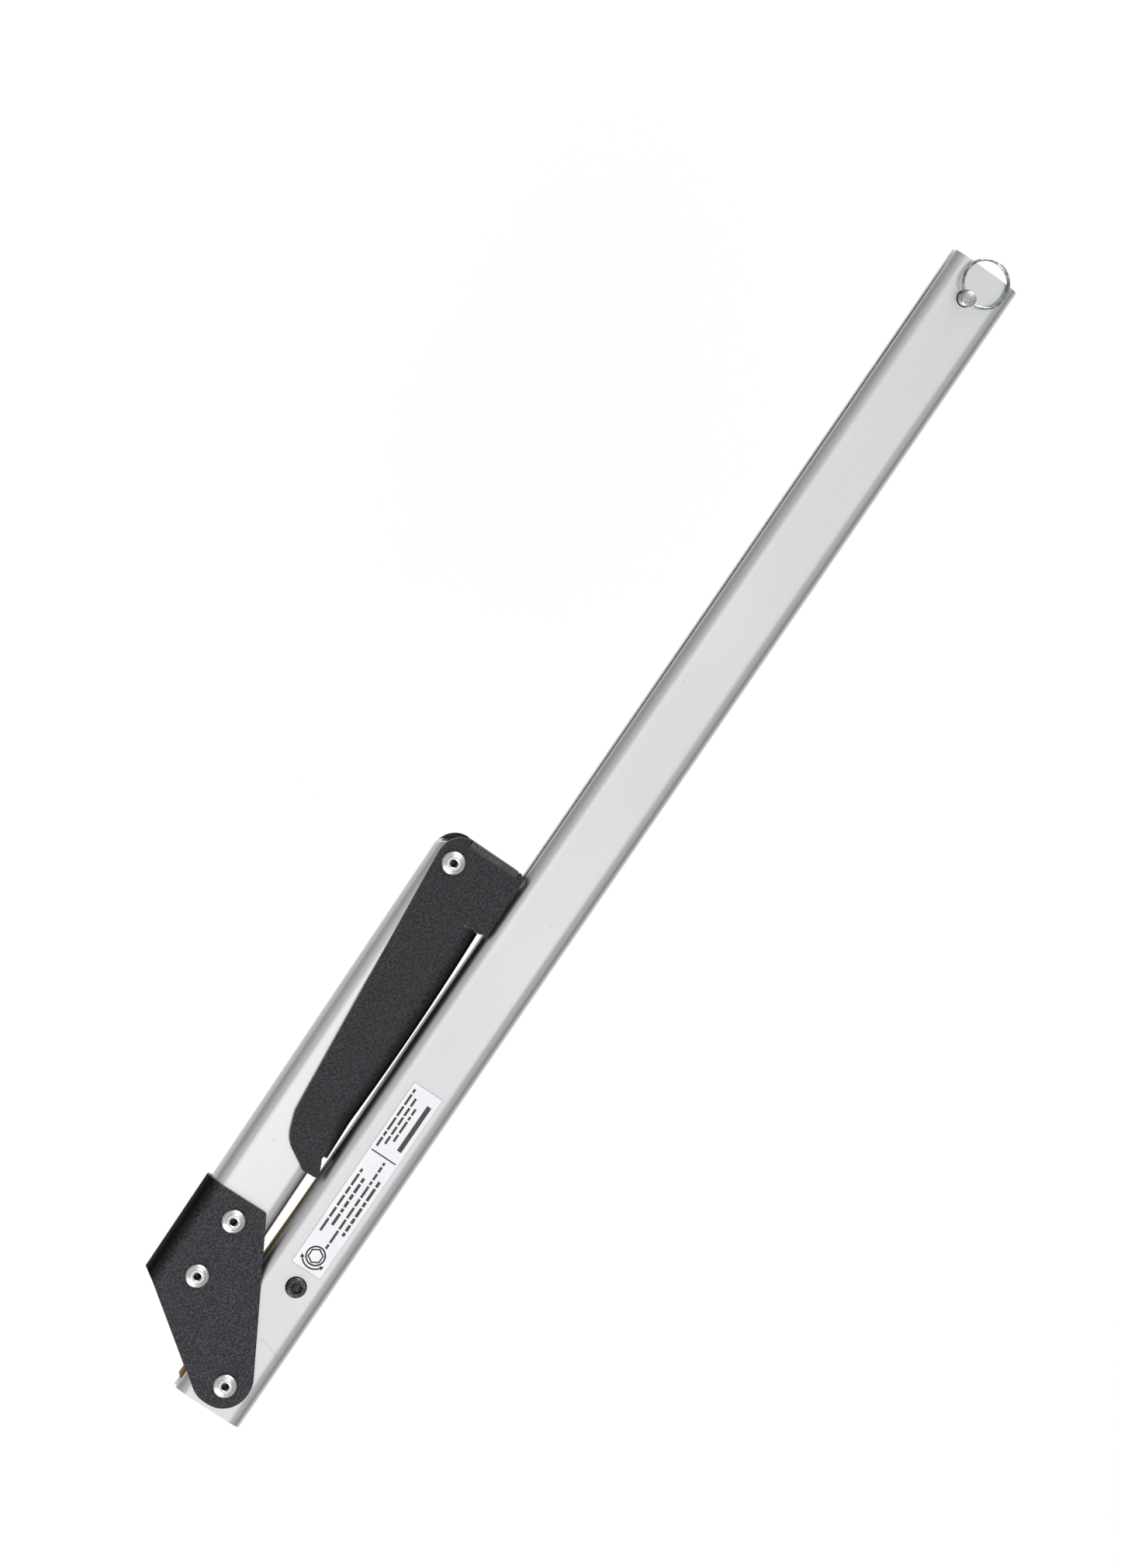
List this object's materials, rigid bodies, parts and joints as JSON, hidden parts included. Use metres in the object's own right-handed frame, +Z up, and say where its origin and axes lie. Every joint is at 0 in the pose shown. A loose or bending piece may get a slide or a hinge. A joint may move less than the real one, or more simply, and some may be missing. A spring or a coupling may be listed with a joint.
{
  "type": "folding camp saw",
  "caption": "Folding triangular camp saw, folded flat: a slotted tube that stores the blade, a hinged arm, and a lever on the arm's free end.",
  "frame": {"origin": "middle of the base of the folded saw, on the surface that it lies on", "axes": "+X along the main tube from the hinge end to the ring end, +Y across it from the main tube to the arm, +Z up out of the face with the label and the rivet heads"},
  "size_m": [0.5484, 0.068, 0.0229],
  "materials": {
    "satin_aluminium": "satin drawn extrusion",
    "black_powder_coat": "fine textured powder coat on steel sheet",
    "rivet_aluminium": "bright satin",
    "mandrel_steel": "dull broken steel",
    "sleeve_steel": "plain turned steel",
    "blade_steel": "golden lacquered spring steel",
    "pin_steel": "plain steel, sawn end",
    "ring_zinc": "bright zinc plate",
    "black_oxide_steel": "black oxide",
    "label_film": "matt printed film"
  },
  "bodies": {
    "handle": {"main_tube": "satin_aluminium", "set_screw_nut": "sleeve_steel", "instruction_label": "label_film"},
    "arm": {"arm_tube": "satin_aluminium", "hinge_bracket": "black_powder_coat", "main_pivot_rivet": "rivet_aluminium", "main_pivot_mandrel": "mandrel_steel", "bracket_rivet_1": "rivet_aluminium", "bracket_mandrel_1": "mandrel_steel", "bracket_spacer_1": "sleeve_steel", "bracket_rivet_2": "rivet_aluminium", "bracket_mandrel_2": "mandrel_steel", "bracket_spacer_2": "sleeve_steel", "lever_pivot_rivet": "rivet_aluminium", "lever_pivot_mandrel": "mandrel_steel", "lever_pivot_spacer": "sleeve_steel"},
    "lever": {"lever": "black_powder_coat"},
    "blade": {"blade": "blade_steel"},
    "pin": {"blade_pin": "pin_steel"},
    "ring": {"split_ring": "ring_zinc"},
    "screw": {"set_screw": "black_oxide_steel"}
  },
  "joints": [
    {"name": "frame_hinge", "type": "hinge", "parent": "handle", "child": "arm", "pos_m": [-0.26257, -0.01833, 0.0099], "axis": [0, 0, 1], "range_deg": [0, 276]},
    {"name": "lever_swing", "type": "hinge", "parent": "arm", "child": "lever", "pos_m": [-0.04187, 0.02477, 0.0099], "axis": [0, 0, 1], "range_deg": [0, 120]},
    {"name": "blade_swing", "type": "hinge", "parent": "handle", "child": "blade", "pos_m": [0.25503, -0.01673, 0.0099], "axis": [0, 0, 1], "range_deg": [-4.5, 0]},
    {"name": "pin_turn", "type": "hinge", "parent": "handle", "child": "pin", "pos_m": [0.25503, -0.01673, 0.0099], "axis": [0, 0, 1], "continuous": true},
    {"name": "ring_swing", "type": "hinge", "parent": "pin", "child": "ring", "pos_m": [0.25503, -0.01673, 0.0199], "axis": [-0.309, -0.9511, 0], "range_deg": [0, 165]},
    {"name": "screw_turn", "type": "hinge", "parent": "handle", "child": "screw", "pos_m": [-0.21497, -0.01993, 0.0099], "axis": [0, 0, 1], "range_deg": [0, 720]}
  ],
  "couplings": [
    {"joint": "lever_swing", "follows": "frame_hinge", "ratio": 0.43},
    {"joint": "blade_swing", "follows": "frame_hinge", "ratio": -0.015}
  ]
}
